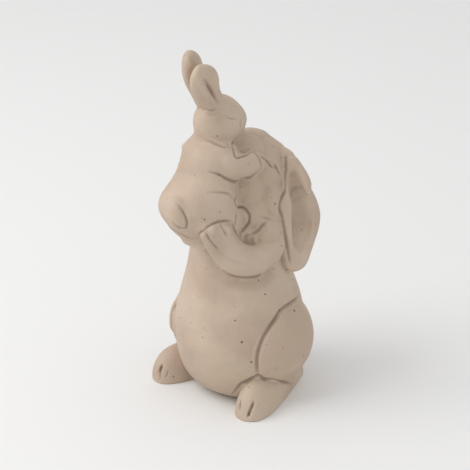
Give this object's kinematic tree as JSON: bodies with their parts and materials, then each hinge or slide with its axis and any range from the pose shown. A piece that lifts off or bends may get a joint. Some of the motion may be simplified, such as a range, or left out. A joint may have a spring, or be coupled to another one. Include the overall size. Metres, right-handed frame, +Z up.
{
  "type": "rabbit figurine",
  "caption": "Free-standing ceramic figurine of a seated lop-eared parent rabbit that holds a small upright rabbit against its chest.",
  "frame": {"origin": "on the table plane, at the centre of the pour hole in the base of the parent rabbit", "axes": "+Z up, -Y the way the parent rabbit faces, +X to the parent rabbit's left"},
  "size_m": [0.0888, 0.1055, 0.2083],
  "materials": {
    "ceramic": "matte unglazed body in warm taupe with fine dark specks"
  },
  "bodies": {
    "root": {"parent_body": "ceramic", "parent_head": "ceramic", "parent_left_haunch": "ceramic", "parent_right_haunch": "ceramic", "parent_left_foot": "ceramic", "parent_right_foot": "ceramic", "parent_left_arm": "ceramic", "parent_right_arm": "ceramic", "parent_left_ear": "ceramic", "parent_right_ear": "ceramic", "parent_tail": "ceramic", "baby_body": "ceramic", "baby_head": "ceramic", "baby_left_ear": "ceramic", "baby_right_ear": "ceramic", "baby_left_arm": "ceramic", "baby_right_arm": "ceramic", "baby_left_leg": "ceramic", "baby_right_leg": "ceramic", "baby_tail": "ceramic"}
  },
  "joints": []
}
